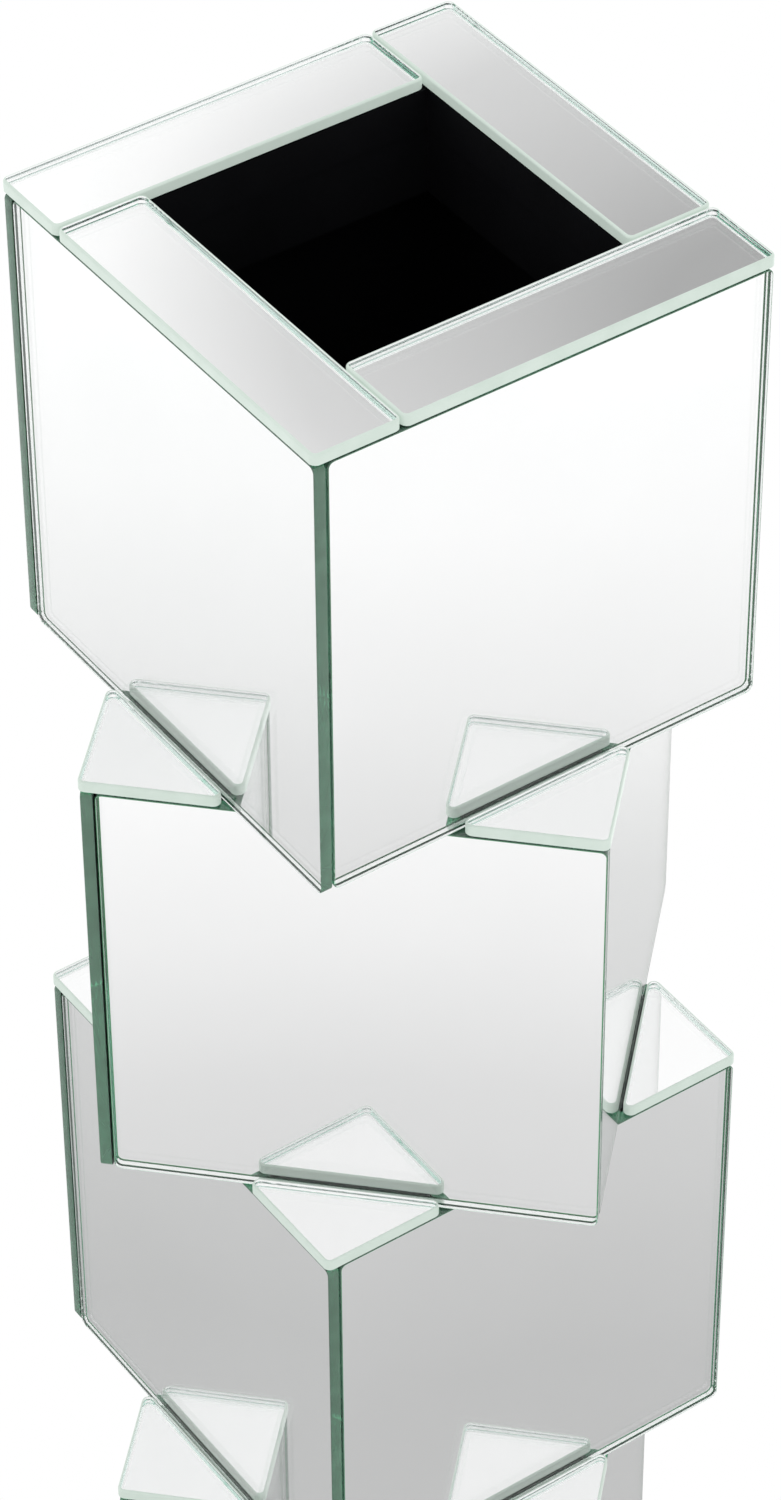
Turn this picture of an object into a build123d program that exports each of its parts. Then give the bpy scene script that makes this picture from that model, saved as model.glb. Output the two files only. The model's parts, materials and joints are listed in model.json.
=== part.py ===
from build123d import *

import os
from math import sqrt

# A tall floor vase built as a stack of mirrored blocks. Every second block is turned by 45 degrees,
# the top block is open, and its black well is framed by four mirror strips.
# The vase stands on Z = 0 with its axis on Z. A block's front faces -Y before it is turned.

# Driving dimensions, mm
block_size = 203.2  # width of a block over its mirrors, and the height that it adds to the stack
block_count = 4
block_turn = -45  # every second block, counted down from the top one, is turned by this, degrees
glass = 5.0  # thickness of every mirror
bond = 1.0  # thickness of the double-sided pads that hold the mirrors
board = 9.0  # thickness of a block's boards
felt = 2.0  # thickness of the felt under the stack
rim_width = 38.1  # width of the mirror strips round the opening
rim_rail = 18.0  # thickness of the rails under those strips
collar_depth = 30.0  # height of the collar below the rails
collar_board = 12.0  # thickness of the collar's sides

# Fits and edges
edge_round = 0.2 * glass  # radius of the arrises of a mirror's flat polished edge
corner_round = 3.0  # a mirror's corners, seen square on
hairline = 0.8  # gap where two mirrors meet
end_gap = 0.3  # a side mirror stops this far short of its block's top and bottom
lip = 0.8  # a top mirror reaches this far past the side mirrors below it
step_gap = 1.0  # gap between a corner mirror and the block that stands on the same board
recess = 0.5  # each layer round the well is set back by this from the one above it

# Pads
side_pad = 24.0  # width of an upright pad behind a side mirror
side_pad_inset = 40.0  # from a side mirror's ends to the middle of its pads
rim_pad = 18.0  # width of the pads under a rim strip
rim_pad_length = 50.0
corner_pad = 14.0  # side of the square pad under a corner mirror

core = block_size - 2 * (glass + bond)  # width of the wooden box inside a block
rim_half = block_size / 2 + lip  # from the axis to the outer edge of a top mirror
mouth_half = rim_half - rim_width  # from the axis to the inner edge of a rim strip
corner_leg = 2 * rim_half - sqrt(2) * (block_size / 2 + step_gap)  # a corner mirror's short side
top_level = felt + block_count * block_size  # top of the highest rails
sides = {"front": 0, "right": 90, "back": 180, "left": 270}  # each side's place round a block
corners = {"near": 0, "right": 90, "far": 180, "left": 270}  # each corner's place round a block


def block_bottom(number):
    """Height of a block's underside. Block 1 is the lowest."""
    return felt + (number - 1) * block_size


def block_pose(number):
    """The turn of a block about the stack's axis."""
    turned = (block_count - number) % 2 == 1
    return Rot(0, 0, block_turn if turned else 0)


def plate(width, depth, height, x, y, z):
    """A square-edged plate whose lowest level is z and whose middle is over x, y."""
    return Pos(x, y, z) * Box(width, depth, height, align=(Align.CENTER, Align.CENTER, Align.MIN))


def lap_plate(half, thickness, height, z, gap=0.0):
    """The front one of four upright or flat plates that lap each other round a square ring.

    half is from the axis to the ring's outer face. The plate runs from the ring's right corner
    to the left plate's inner face, and stops gap short of it."""
    length = 2 * half - thickness - gap
    return plate(length, thickness, height, (thickness + gap) / 2, (thickness - 2 * half) / 2, z)


def mirror(outline):
    """A sheet of mirror with its silvered back on the XY plane, rounded corners and polished edges."""
    sheet = extrude(fillet(outline.vertices(), corner_round), glass)
    faces = sheet.faces().sort_by(Axis.Z)
    return fillet(faces[0].edges() + faces[-1].edges(), edge_round)


def side_mirror():
    """The mirror on the front of a block whose underside is at Z = 0."""
    length = block_size - glass - hairline
    height = block_size - 2 * end_gap
    upright = Rot(90, 0, 0) * mirror(Rectangle(length, height))
    return Pos((glass + hairline) / 2, glass - block_size / 2, block_size / 2) * upright


def rim_mirror():
    """The mirror strip along the front of the opening."""
    length = 2 * rim_half - rim_width - hairline
    strip = mirror(Rectangle(length, rim_width))
    return Pos((rim_width + hairline) / 2, rim_width / 2 - rim_half, top_level + bond) * strip


def corner_mirror(level):
    """The three-sided mirror on a block's near corner, beside the turned block above it."""
    outline = make_face(Polyline((0, 0), (corner_leg, 0), (0, corner_leg), close=True))
    return Pos(-rim_half, -rim_half, level + bond) * mirror(outline)


def side_pads():
    """The two upright pads behind the mirror on the front of a block whose underside is at Z = 0."""
    reach = block_size / 2 - side_pad_inset
    height = block_size - 2 * side_pad_inset
    pad = plate(side_pad, bond, height, 0, glass + bond / 2 - block_size / 2, side_pad_inset)
    return [Pos(side * reach, 0, 0) * pad for side in (-1, 1)]


def rim_pads():
    """The two flat pads under the mirror strip along the front of the opening."""
    y = (mouth_half + core / 2) / -2
    pad = plate(rim_pad_length, rim_pad, bond, 0, y, top_level)
    return [Pos(side * rim_pad_length, 0, 0) * pad for side in (-1, 1)]


def corner_pad_at(level):
    """The pad under the mirror on a block's near corner."""
    middle = corner_leg / 3 - rim_half
    return plate(corner_pad, corner_pad, bond, middle, middle, level)


def adhesive():
    """Every pad in the stack, as one group."""
    pads = []
    for number in range(1, block_count + 1):
        pose = block_pose(number)
        bottom = block_bottom(number)
        for angle in sides.values():
            place = pose * Pos(0, 0, bottom) * Rot(0, 0, angle)
            pads += [place * pad for pad in side_pads()]
        for angle in corners.values():
            if number < block_count:
                pads.append(pose * Rot(0, 0, angle) * corner_pad_at(bottom + block_size))
    for angle in sides.values():
        pads += [Rot(0, 0, angle) * pad for pad in rim_pads()]
    return Compound(children=pads)


def closed_block(number):
    """The boards, side mirrors and corner mirrors of a block that carries another one."""
    pose = block_pose(number)
    bottom = block_bottom(number)
    top = bottom + block_size
    wall = lap_plate(core / 2, board, block_size - 2 * board, bottom + board)
    name = f"block_{number}"
    parts = {
        f"{name}_bottom_board": pose * plate(core, core, board, 0, 0, bottom),
        f"{name}_walls": Compound(children=[pose * Rot(0, 0, a) * wall for a in sides.values()]),
        f"{name}_top_board": pose * plate(core, core, board, 0, 0, top - board),
    }
    for side, angle in sides.items():
        parts[f"{name}_mirror_{side}"] = pose * Pos(0, 0, bottom) * Rot(0, 0, angle) * side_mirror()
    for corner, angle in corners.items():
        parts[f"{name}_corner_mirror_{corner}"] = pose * Rot(0, 0, angle) * corner_mirror(top)
    return parts


def open_block(number):
    """The top block: a box with no lid, the rails and collar round its well, and its mirrors."""
    pose = block_pose(number)
    bottom = block_bottom(number)
    rail_bottom = top_level - rim_rail
    collar_bottom = rail_bottom - collar_depth
    rail_width = core / 2 - mouth_half - recess
    collar_half = mouth_half + 2 * recess + collar_board
    name = f"block_{number}"
    ring = {
        f"{name}_wall": lap_plate(core / 2, board, rail_bottom - bottom - board, bottom + board),
        "rim_rail": lap_plate(core / 2, rail_width, rim_rail, rail_bottom),
        "collar_side": lap_plate(collar_half, collar_board, collar_depth, collar_bottom),
        f"{name}_mirror": Pos(0, 0, bottom) * side_mirror(),
        "rim_mirror": rim_mirror(),
    }
    parts = {f"{name}_bottom_board": pose * plate(core, core, board, 0, 0, bottom)}
    for piece, shape in ring.items():
        for side, angle in sides.items():
            parts[f"{piece}_{side}"] = pose * Rot(0, 0, angle) * shape
    return parts


def stack():
    """Every sub-part of the vase by name."""
    parts = {"base_felt": block_pose(1) * plate(core, core, felt, 0, 0, 0), "mirror_pads": adhesive()}
    for number in range(1, block_count):
        parts.update(closed_block(number))
    parts.update(open_block(block_count))
    return parts


os.makedirs("parts", exist_ok=True)
for node, shape in stack().items():
    export_step(shape, f"parts/{node}.step")
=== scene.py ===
import json
from math import cos, pi, radians, sin, sqrt

import bmesh
import bpy
from mathutils import Matrix, Vector


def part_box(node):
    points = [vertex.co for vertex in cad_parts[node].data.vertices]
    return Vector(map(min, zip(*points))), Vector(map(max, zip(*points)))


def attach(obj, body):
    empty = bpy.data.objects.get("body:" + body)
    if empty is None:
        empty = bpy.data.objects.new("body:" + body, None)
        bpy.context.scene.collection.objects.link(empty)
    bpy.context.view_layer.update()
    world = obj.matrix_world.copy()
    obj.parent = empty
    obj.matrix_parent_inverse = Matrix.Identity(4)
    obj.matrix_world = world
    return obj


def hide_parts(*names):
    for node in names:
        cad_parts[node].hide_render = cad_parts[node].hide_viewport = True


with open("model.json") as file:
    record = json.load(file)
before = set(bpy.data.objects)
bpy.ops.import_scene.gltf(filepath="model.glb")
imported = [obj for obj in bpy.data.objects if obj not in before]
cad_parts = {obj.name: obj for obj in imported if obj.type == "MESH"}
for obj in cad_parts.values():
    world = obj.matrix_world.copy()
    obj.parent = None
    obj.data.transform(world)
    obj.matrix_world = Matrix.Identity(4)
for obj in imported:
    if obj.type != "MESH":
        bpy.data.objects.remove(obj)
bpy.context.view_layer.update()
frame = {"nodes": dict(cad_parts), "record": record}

# The vase is a stack of mirrored blocks on the Z axis. A block's front faces -Y before the block is
# turned. All sizes are in metres. The block's and the glass's are read back from the frame.
BLOCKS = 4
BLOCK_TURN = -45  # degrees, for every second block counted down from the top one
SIDES = {"front": 0, "right": 90, "back": 180, "left": 270}
CORNERS = {"near": 0, "right": 90, "far": 180, "left": 270}
STEP_GAP = 0.001  # between a corner mirror and the block that stands on the same board

TOP_ROUND = 0.001  # radius of the ground front arris of a mirror that faces up
SIDE_ROUND = 0.0005  # radius of the polished front arris of a side mirror
BACK_ROUND = 0.0002  # radius of a mirror's back arris, up to which the silver reaches
CORNER_ROUND = 0.003  # radius of a mirror's corners, seen square on
PAINT = (0.00001, 0.00004)  # the paint layer on a mirror's back, from and to
SILVER = 0.00005  # height of the silver, just in front of the paint
SHELL = (0.00001, 0.00003)  # the ground skin outside a top mirror's edge, from and to
ROUND_STEPS = 6  # facets round the front arris
BACK_STEPS = 2  # facets round the back arris
CORNER_STEPS = 10  # facets round a mirror's corner
FRONT, EDGE, SILVERED, PAINTED, SKIN, SKIN_BACK = range(6)  # a mirror's material slots

# Float glass takes 1 - colour of the light, times the density, per metre
GREEN_DEPTH = (0.175, 0.775, 0.56, 1.0)
GREEN_DENSITY = 8.0
GLASS_IOR = 1.52

# The camera looks down at the near corner of the top block from just over two metres
AZIMUTH, ELEVATION = radians(-34.83), radians(41.32)
AIM = (0.0005, -0.0004, 0.560)
DISTANCE = 2.179
ROLL = radians(-0.385)
LENS, SENSOR = 131.4, 36.0  # millimetres

# Between the silver and the front, light needs many bounces to get out of a glass edge
ALL_BOUNCES = 48
GLASS_BOUNCES = 32

# The studio's shades
SKY_STRENGTH = 1.2
FLAG_PLACE = (0.075, 0.080)  # right of and above the mirrored view's middle, as sines
FLAG_RADIUS = 0.21  # half its width, as a sine
FLAG_SQUASH = 1.75  # the flag is this much wider than high
FLAG_SHADE = [  # (share of the radius, grey)
    (0.12, 0.39),
    (0.26, 0.515),
    (0.45, 0.64),
    (0.54, 0.79),
    (0.60, 0.90),
    (0.67, 0.975),
    (0.76, 0.975),
    (0.95, 0.92),
]
FLOOR_RADIUS = 12.0
FLOOR_STRENGTH = 1.18
FLOOR_REACH = 1.4  # from the axis
# Along the line in which the unturned blocks mirror the camera's view, a metre counts for less
FLOOR_STRETCH = 0.80
# Painted shade on the floor as the mirrors see it: darker towards the vase's foot, where its shadow
# would fall
FLOOR_PAINTED_SHADE = [  # (share of the reach, grey)
    (0.20, 0.51),
    (0.33, 0.64),
    (0.41, 0.70),
    (0.486, 0.825),
    (0.57, 0.925),
    (0.60, 0.94),
    (0.66, 0.965),
]

top_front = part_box(f"block_{BLOCKS}_mirror_front")
GLASS = top_front[1].y - top_front[0].y
BLOCK_SIZE = 2 * -top_front[0].y
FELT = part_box("base_felt")[1].z
TOP_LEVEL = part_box("rim_rail_front")[1].z
RIM_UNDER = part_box("rim_mirror_front")[0].z


# ---------------------------------------------------------------- materials


def new_material(name):
    """A material with an empty node tree and its output node."""
    material = bpy.data.materials.new(name)
    material.use_nodes = True
    tree = material.node_tree
    tree.nodes.clear()
    return material, tree, tree.nodes.new("ShaderNodeOutputMaterial")


def add(tree, kind, inputs=(), **settings):
    """A new node with its settings, and with each input set to a value or linked from a socket."""
    node = tree.nodes.new(kind)
    for key, value in settings.items():
        setattr(node, key, value)
    for key, value in dict(inputs).items():
        if isinstance(value, bpy.types.NodeSocket):
            tree.links.new(value, node.inputs[key])
        else:
            node.inputs[key].default_value = value
    return node


def principled(tree, out, inputs):
    """A Principled shader on the material's surface."""
    shader = add(tree, "ShaderNodeBsdfPrincipled", inputs)
    tree.links.new(shader.outputs["BSDF"], out.inputs["Surface"])


def noise(tree, scale, detail, roughness=0.5, distortion=0.0):
    """A noise over the object's own coordinates."""
    place = add(tree, "ShaderNodeTexCoord")
    inputs = {"Vector": place.outputs["Object"], "Scale": scale, "Detail": detail}
    inputs |= {"Roughness": roughness, "Distortion": distortion}
    return add(tree, "ShaderNodeTexNoise", inputs).outputs["Fac"]


def tinted(tree, value, stops):
    """A colour that follows value through (place, colour) stops."""
    ramp = add(tree, "ShaderNodeValToRGB", {"Fac": value})
    for element, (place, colour) in zip(ramp.color_ramp.elements, stops):
        element.position = place
        element.color = (*colour, 1.0)
    return ramp.outputs["Color"]


def relief(tree, height, strength, distance):
    """The normal of a fine relief."""
    inputs = {"Height": height, "Strength": strength, "Distance": distance}
    return add(tree, "ShaderNodeBump", inputs).outputs["Normal"]


def mottle(tree, scale, dark, pale, detail=4.0):
    """A colour that wanders between two, over patches of about 1 / scale metres."""
    return tinted(tree, noise(tree, scale, detail, roughness=0.65), ((0.3, dark), (0.7, pale)))


def green_depth(tree, out):
    """The green that iron gives to glass, by the length of the light's way through it."""
    inputs = {"Color": GREEN_DEPTH, "Density": GREEN_DENSITY}
    depth = add(tree, "ShaderNodeVolumeAbsorption", inputs)
    tree.links.new(depth.outputs["Volume"], out.inputs["Volume"])


def clear_glass():
    """Clear float glass with a green cast that deepens with the thickness looked through."""
    material, tree, out = new_material("clear_glass")
    inputs = {
        "Base Color": mottle(tree, 9.0, (0.98, 0.98, 0.98), (1.0, 1.0, 1.0)),
        "Roughness": 0.0,
        "IOR": GLASS_IOR,
        "Transmission Weight": 1.0,
    }
    principled(tree, out, inputs)
    green_depth(tree, out)
    return material


def polished_edge():
    """The polished edge of a side mirror: slightly clouded, and green from the depth behind it."""
    material, tree, out = new_material("deep_edge")
    inputs = {
        "Base Color": mottle(tree, 90.0, (0.36, 0.66, 0.48), (0.48, 0.88, 0.64), detail=2.0),
        "Roughness": 0.06,
        "IOR": GLASS_IOR,
        "Transmission Weight": 0.83,
    }
    principled(tree, out, inputs)
    green_depth(tree, out)
    return material


def ground_skin(name, dark, pale, painted_glow, strength):
    """The pale ground skin of a top mirror's edge, with a painted glow (emission) that stands in
    for the light it lets through.
    """
    material, tree, out = new_material(name)
    inputs = {
        "Base Color": mottle(tree, 90.0, dark, pale, detail=2.0),
        "Roughness": 0.25,
        "IOR": GLASS_IOR,
        # painted glow: the skin emits light in place of the light that a ground edge passes on from
        # inside the glass
        "Emission Color": (*painted_glow, 1.0),
        "Emission Strength": strength,
    }
    principled(tree, out, inputs)
    return material


def silver():
    """The silvered back of a mirror, seen through the glass."""
    material, tree, out = new_material("silver")
    tint = mottle(tree, 6.0, (0.955, 0.908, 0.926), (0.965, 0.918, 0.936))
    principled(tree, out, {"Base Color": tint, "Metallic": 1.0, "Roughness": 0.0})
    return material


def backing_paint():
    """The dark grey paint that keeps the silver on a mirror's back."""
    material, tree, out = new_material("backing_paint")
    tint = mottle(tree, 40.0, (0.020, 0.021, 0.022), (0.032, 0.033, 0.034))
    principled(tree, out, {"Base Color": tint, "Roughness": 0.6})
    return material


def black_paint():
    """Matt black paint on fibreboard: a faint roller texture and rubbed patches."""
    material, tree, out = new_material("black_paint")
    patches = noise(tree, 18.0, detail=5.0, roughness=0.6)
    gloss = add(tree, "ShaderNodeMapRange", {"Value": patches, "To Min": 0.42, "To Max": 0.62})
    shades = ((0.0, (0.0018, 0.0018, 0.0024)), (1.0, (0.005, 0.005, 0.0065)))
    texture = noise(tree, 900.0, detail=3.0)
    inputs = {
        "Base Color": tinted(tree, patches, shades),
        "Roughness": gloss.outputs["Result"],
        "Normal": relief(tree, texture, strength=0.25, distance=0.0002),
        "Specular IOR Level": 0.22,
    }
    principled(tree, out, inputs)
    return material


def felt():
    """Black felt: matted fibres with a little sheen."""
    material, tree, out = new_material("felt")
    fibres = noise(tree, 700.0, detail=6.0, roughness=0.7, distortion=1.5)
    shades = ((0.0, (0.006, 0.006, 0.006)), (1.0, (0.035, 0.035, 0.037)))
    inputs = {
        "Base Color": tinted(tree, fibres, shades),
        "Roughness": 0.95,
        "Sheen Weight": 0.3,
        "Normal": relief(tree, fibres, strength=0.7, distance=0.0006),
    }
    principled(tree, out, inputs)
    return material


def foam():
    """Black closed-cell foam tape."""
    material, tree, out = new_material("foam")
    place = add(tree, "ShaderNodeTexCoord")
    inputs = {"Vector": place.outputs["Object"], "Scale": 1500.0}
    cells = add(tree, "ShaderNodeTexVoronoi", inputs).outputs["Distance"]
    shades = ((0.0, (0.012, 0.012, 0.012)), (1.0, (0.04, 0.04, 0.04)))
    inputs = {
        "Base Color": tinted(tree, cells, shades),
        "Roughness": 0.8,
        "Normal": relief(tree, cells, strength=0.4, distance=0.0002),
    }
    principled(tree, out, inputs)
    return material


# ---------------------------------------------------------------- mirrors


def rounded_ring(corners, inset, height):
    """Points round a convex outline with rounded corners, moved in by inset, at one height.

    corners go anticlockwise. Each arc keeps its centre, so every ring has as many points."""
    points = []
    for i, corner in enumerate(corners):
        before = (corners[i - 1] - corner).normalized()
        after = (corners[(i + 1) % len(corners)] - corner).normalized()
        half = before.angle(after) / 2
        centre = corner + (before + after).normalized() * (CORNER_ROUND / sin(half))
        start = Vector((-before.y, before.x))
        sweep = pi - 2 * half
        for step in range(CORNER_STEPS + 1):
            angle = sweep * step / CORNER_STEPS
            turned = Matrix.Rotation(angle, 2) @ start
            points.append((*(centre + turned * (CORNER_ROUND - inset)), height))
    return points


def arris(radius, steps):
    """(inset, height) points of a quarter circle that rises from a flat face to an upright one."""
    angles = [pi / 2 * step / steps for step in range(steps + 1)]
    return [(radius * (1 - sin(angle)), radius * (1 - cos(angle))) for angle in angles]


def edge_profile(front_round):
    """(inset, height) from the silvered back, round the polished edge, to the front."""
    back = [(inset, SILVER + height) for inset, height in arris(BACK_ROUND, BACK_STEPS)]
    front = [(inset, GLASS - height) for inset, height in arris(front_round, ROUND_STEPS)]
    return back + front[::-1]


def shell_side(gap):
    """(inset, height) up the edge and round its front arris, by this gap outside the glass."""
    bend = arris(TOP_ROUND + gap, ROUND_STEPS)
    foot = [(-gap, SILVER + BACK_ROUND)]
    return foot + [(inset - gap, GLASS + gap - height) for inset, height in bend[::-1]]


def lay_rings(bm, corners, profile):
    """A ring of vertices round the outline for each (inset, height) of a profile."""
    return [[bm.verts.new(p) for p in rounded_ring(corners, *place)] for place in profile]


def lay_walls(bm, rings, material, smooth=False):
    """Walls from ring to ring, each ring with as many points as the next."""
    for lower, upper in zip(rings, rings[1:]):
        for i in range(len(lower)):
            j = (i + 1) % len(lower)
            face = bm.faces.new((lower[i], lower[j], upper[j], upper[i]))
            face.smooth = smooth
            face.material_index = material


def add_glass(bm, corners, front_round):
    """The closed sheet of glass: front, edges and silvered back."""
    rings = lay_rings(bm, corners, edge_profile(front_round))
    lay_walls(bm, rings, EDGE, smooth=True)
    bm.faces.new(rings[-1]).material_index = FRONT
    bm.faces.new(reversed(rings[0])).material_index = SILVERED
    for ring in (rings[0], rings[-1]):
        for i, vert in enumerate(ring):
            bm.edges.get((vert, ring[(i + 1) % len(ring)])).smooth = False


def add_paint(bm, corners):
    """The closed layer of paint behind the silver."""
    low, high = lay_rings(bm, corners, [(BACK_ROUND, height) for height in PAINT])
    lay_walls(bm, [low, high], PAINTED)
    bm.faces.new(high).material_index = PAINTED
    bm.faces.new(reversed(low)).material_index = PAINTED


def add_ground_skin(bm, corners):
    """The closed thin skin outside the edge and its front arris."""
    inner, outer = (lay_rings(bm, corners, shell_side(gap)) for gap in SHELL)
    lay_walls(bm, outer + inner[-1:], SKIN)
    lay_walls(bm, inner[::-1], SKIN_BACK)
    lay_walls(bm, [inner[0], outer[0]], SKIN)


def mirror_mesh(name, corners, front_round, finishes):
    """A sheet of glass on the XY plane with a silvered and painted underside.

    finishes are the materials of its front, its edge, its silver and its paint, and where the edge
    is ground also those of the skin's two sides."""
    mesh = bpy.data.meshes.new(name)
    for finish in finishes:
        mesh.materials.append(finish)
    bm = bmesh.new()
    add_glass(bm, corners, front_round)
    add_paint(bm, corners)
    if len(finishes) > SKIN:
        add_ground_skin(bm, corners)
    bm.to_mesh(mesh)
    bm.free()
    return mesh


def show_mirror(mesh, node, place):
    """One mirror at its place in the frame, standing for its CAD node."""
    piece = bpy.data.objects.new(f"glass_{node}", mesh.copy())
    piece.data.name = piece.name
    piece.data.transform(place)
    bpy.context.scene.collection.objects.link(piece)
    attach(piece, "root")
    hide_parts(node)
    return piece


def rectangle(low, high):
    """The corners of a rectangle, anticlockwise."""
    return [Vector(p) for p in (low, (high[0], low[1]), high, (low[0], high[1]))]


def turn(degrees):
    """A turn about the stack's axis."""
    return Matrix.Rotation(radians(degrees), 4, "Z")


def block_pose(number):
    """The turn of a block about the stack's axis. Block 1 is the lowest."""
    return turn(BLOCK_TURN if (BLOCKS - number) % 2 else 0)


def make_mirrors():
    """Every mirror of the stack, each in the place of its CAD node."""
    clear, back, paint = clear_glass(), silver(), backing_paint()
    # Outer side of the ground skin: a darker base under a painted glow, for the light the ground
    # edge passes on
    outside = ground_skin(
        "ground_skin",
        dark=(0.28, 0.33, 0.295),
        pale=(0.325, 0.37, 0.34),
        painted_glow=(0.605, 0.70, 0.635),
        strength=0.5,
    )
    # Inner side, facing the glass: a paler lit copy of the skin with a stronger painted glow, in
    # place of the light that reaches it through the ground edge
    inside = ground_skin(
        "painted_glow_skin",
        dark=(0.66, 0.68, 0.67),
        pale=(0.74, 0.75, 0.745),
        painted_glow=(0.70, 0.715, 0.707),
        strength=1.0,
    )
    side_finish = (clear, polished_edge(), back, paint)
    top_finish = (clear, clear, back, paint, outside, inside)

    low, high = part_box(f"block_{BLOCKS}_mirror_front")
    bottom = FELT + (BLOCKS - 1) * BLOCK_SIZE
    outline = rectangle((low.x, low.z - bottom), (high.x, high.z - bottom))
    side = mirror_mesh("side", outline, SIDE_ROUND, side_finish)
    upright = Matrix.Translation((0, GLASS - BLOCK_SIZE / 2, 0)) @ Matrix.Rotation(pi / 2, 4, "X")
    for number in range(1, BLOCKS + 1):
        raised = Matrix.Translation((0, 0, FELT + (number - 1) * BLOCK_SIZE))
        for name, angle in SIDES.items():
            place = block_pose(number) @ turn(angle) @ raised @ upright
            show_mirror(side, f"block_{number}_mirror_{name}", place)

    low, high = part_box("rim_mirror_front")
    strip = mirror_mesh("strip", rectangle(low.xy, high.xy), TOP_ROUND, top_finish)
    for name, angle in SIDES.items():
        place = turn(angle) @ Matrix.Translation((0, 0, RIM_UNDER))
        show_mirror(strip, f"rim_mirror_{name}", place)

    rim_half = -low.y
    leg = 2 * rim_half - sqrt(2) * (BLOCK_SIZE / 2 + STEP_GAP)
    tip = Vector((-rim_half, -rim_half))
    outline = [tip, tip + Vector((leg, 0)), tip + Vector((0, leg))]
    three = mirror_mesh("three", outline, TOP_ROUND, top_finish)
    for number in range(1, BLOCKS):
        level = FELT + number * BLOCK_SIZE + RIM_UNDER - TOP_LEVEL
        for name, angle in CORNERS.items():
            place = block_pose(number) @ turn(angle) @ Matrix.Translation((0, 0, level))
            show_mirror(three, f"block_{number}_corner_mirror_{name}", place)


def dress_cad():
    """The boards, felt and pads keep their CAD shapes and get their materials."""
    finishes = {"black_board": black_paint(), "black_felt": felt(), "foam_tape": foam()}
    for part in frame["record"]["subparts"]:
        finish = finishes.get(part["material_slot"])
        if finish is not None:
            node = frame["nodes"][part["node"]]
            node.data.materials.clear()
            node.data.materials.append(finish)


# ---------------------------------------------------------------- studio


def grey_ramp(tree, value, stops):
    """A grey that follows value through (place, brightness) stops."""
    ramp = add(tree, "ShaderNodeValToRGB", {"Fac": value})
    elements = ramp.color_ramp.elements
    while len(elements) < len(stops):
        elements.new(0.5)
    for element, (place, grey) in zip(elements, stops):
        element.position = place
        element.color = (grey, grey, grey, 1.0)
    return ramp.outputs["Color"]


def view_axes(azimuth, elevation):
    """Right, up and back of a level camera that looks at the vase from this side and height."""
    back = Vector((sin(azimuth) * cos(elevation), -cos(azimuth) * cos(elevation), sin(elevation)))
    right = Vector((cos(azimuth), sin(azimuth), 0))
    return right, back.cross(right), back


def along(tree, place, axis, offset):
    """How far a place lies along an axis, from an offset."""
    inputs = {0: place, 1: axis}
    reach = add(tree, "ShaderNodeVectorMath", inputs, operation="DOT_PRODUCT").outputs["Value"]
    return add(tree, "ShaderNodeMath", {0: reach, 1: offset}, operation="SUBTRACT").outputs["Value"]


def share_of(tree, place, whole):
    """A place's distance from the origin as a share of a whole."""
    far = add(tree, "ShaderNodeVectorMath", {0: place}, operation="LENGTH").outputs["Value"]
    return add(tree, "ShaderNodeMath", {0: far, 1: whole}, operation="DIVIDE").outputs["Value"]


def studio_world():
    """A white light tent, with a grey flag behind the vase that shades the rim strips."""
    world = bpy.data.worlds.new("studio")
    bpy.context.scene.world = world
    world.use_nodes = True
    tree = world.node_tree
    tree.nodes.clear()
    out = tree.nodes.new("ShaderNodeOutputWorld")
    place = add(tree, "ShaderNodeTexCoord").outputs["Generated"]
    right, up, _ = view_axes(AZIMUTH, ELEVATION)
    up.z = -up.z  # as the mirrors that face up show it
    across = along(tree, place, right, FLAG_PLACE[0])
    above = along(tree, place, up, FLAG_PLACE[1])
    above = add(tree, "ShaderNodeMath", {0: above, 1: FLAG_SQUASH}, operation="MULTIPLY")
    apart = add(tree, "ShaderNodeCombineXYZ", {"X": across, "Y": above.outputs["Value"]})
    share = share_of(tree, apart.outputs["Vector"], FLAG_RADIUS)
    shade = grey_ramp(tree, share, FLAG_SHADE)
    sky = add(tree, "ShaderNodeBackground", {"Color": shade, "Strength": SKY_STRENGTH})
    tree.links.new(sky.outputs["Background"], out.inputs["Surface"])


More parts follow.
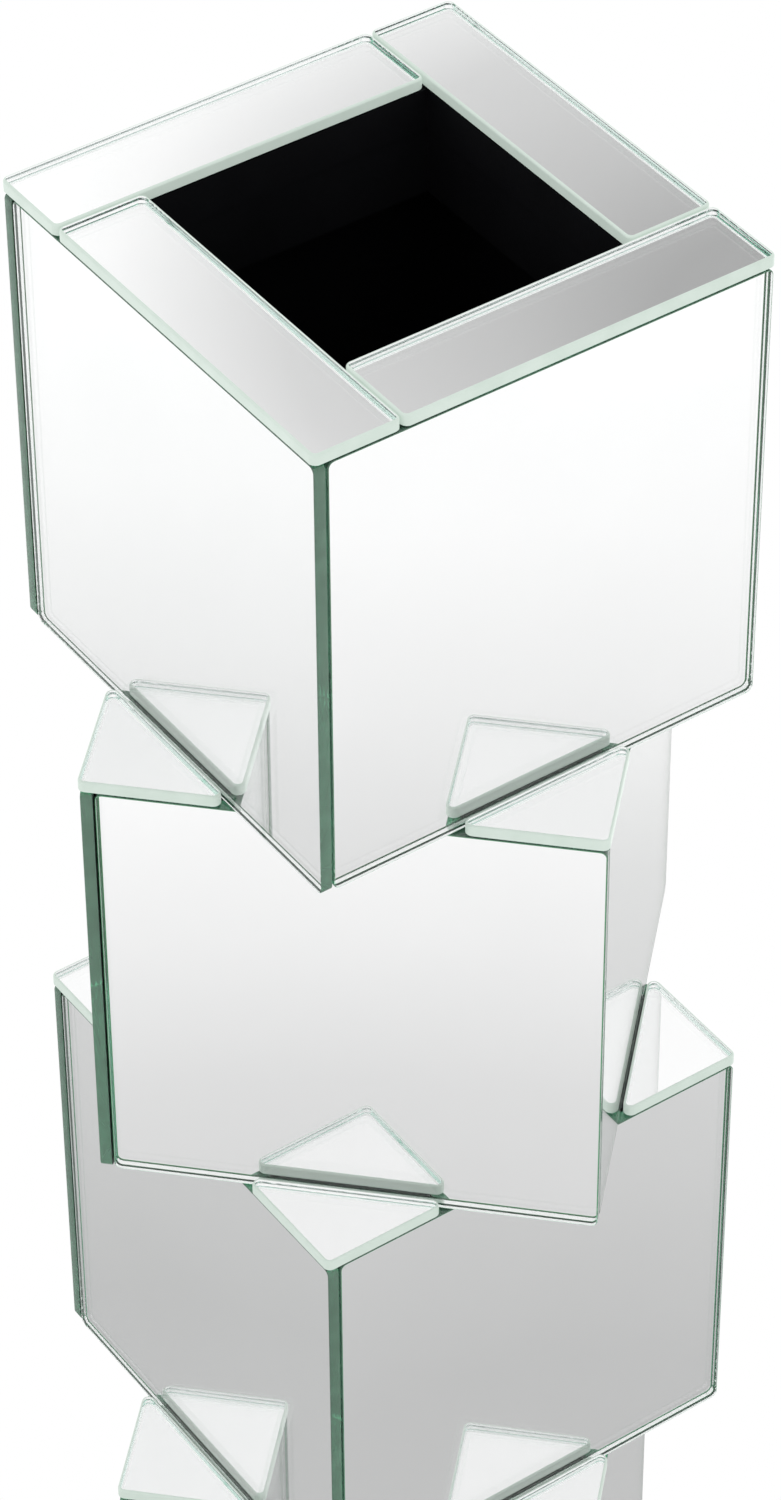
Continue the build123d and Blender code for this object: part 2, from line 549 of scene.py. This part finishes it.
def studio_floor():
    """A wide white floor. The mirrors see it with a painted shade, darker towards the vase's foot.
    """
    bpy.ops.mesh.primitive_circle_add(vertices=96, radius=FLOOR_RADIUS, fill_type="NGON")
    floor = bpy.context.object
    floor.name = "studio_floor"
    material, tree, out = new_material("floor_paint")
    place = add(tree, "ShaderNodeTexCoord")
    stretched = add(
        tree,
        "ShaderNodeMapping",
        {
            "Vector": place.outputs["Object"],
            "Rotation": (0.0, 0.0, pi / 2 - AZIMUTH),
            "Scale": (1 / FLOOR_STRETCH, 1.0, 1.0),
        },
        vector_type="TEXTURE",
    )
    share = share_of(tree, stretched.outputs["Vector"], FLOOR_REACH)
    # painted shade: the mirrored floor darkens towards the vase's foot, where its shadow would fall
    shade = grey_ramp(tree, share, FLOOR_PAINTED_SHADE)
    seen = add(tree, "ShaderNodeEmission", {"Color": (1.0, 1.0, 1.0, 1.0), "Strength": 1.0})
    mirrored = add(tree, "ShaderNodeEmission", {"Color": shade, "Strength": FLOOR_STRENGTH})
    ray = add(tree, "ShaderNodeLightPath")
    looks = {1: mirrored.outputs["Emission"], 2: seen.outputs["Emission"]}
    mix = add(tree, "ShaderNodeMixShader", {0: ray.outputs["Is Camera Ray"], **looks})
    tree.links.new(mix.outputs["Shader"], out.inputs["Surface"])
    floor.data.materials.append(material)


def camera():
    """Looks down at the near corner of the top block."""
    back = view_axes(AZIMUTH, ELEVATION)[2]
    lens = bpy.data.cameras.new("camera")
    lens.lens = LENS
    lens.sensor_width = SENSOR
    lens.clip_start, lens.clip_end = 0.05, 60.0
    holder = bpy.data.objects.new("camera", lens)
    holder.rotation_mode = "QUATERNION"
    holder.location = Vector(AIM) + back * DISTANCE
    level = (-back).to_track_quat("-Z", "Y").to_matrix()
    holder.rotation_quaternion = (level @ Matrix.Rotation(ROLL, 3, "Z")).to_quaternion()
    bpy.context.scene.collection.objects.link(holder)
    bpy.context.scene.camera = holder


def studio():
    """The view, the light and the floor."""
    scene = bpy.context.scene
    scene.view_settings.view_transform = "Standard"
    scene.cycles.max_bounces = ALL_BOUNCES
    scene.cycles.glossy_bounces = GLASS_BOUNCES
    scene.cycles.transmission_bounces = GLASS_BOUNCES
    studio_world()
    studio_floor()
    camera()


studio()
make_mirrors()
dress_cad()
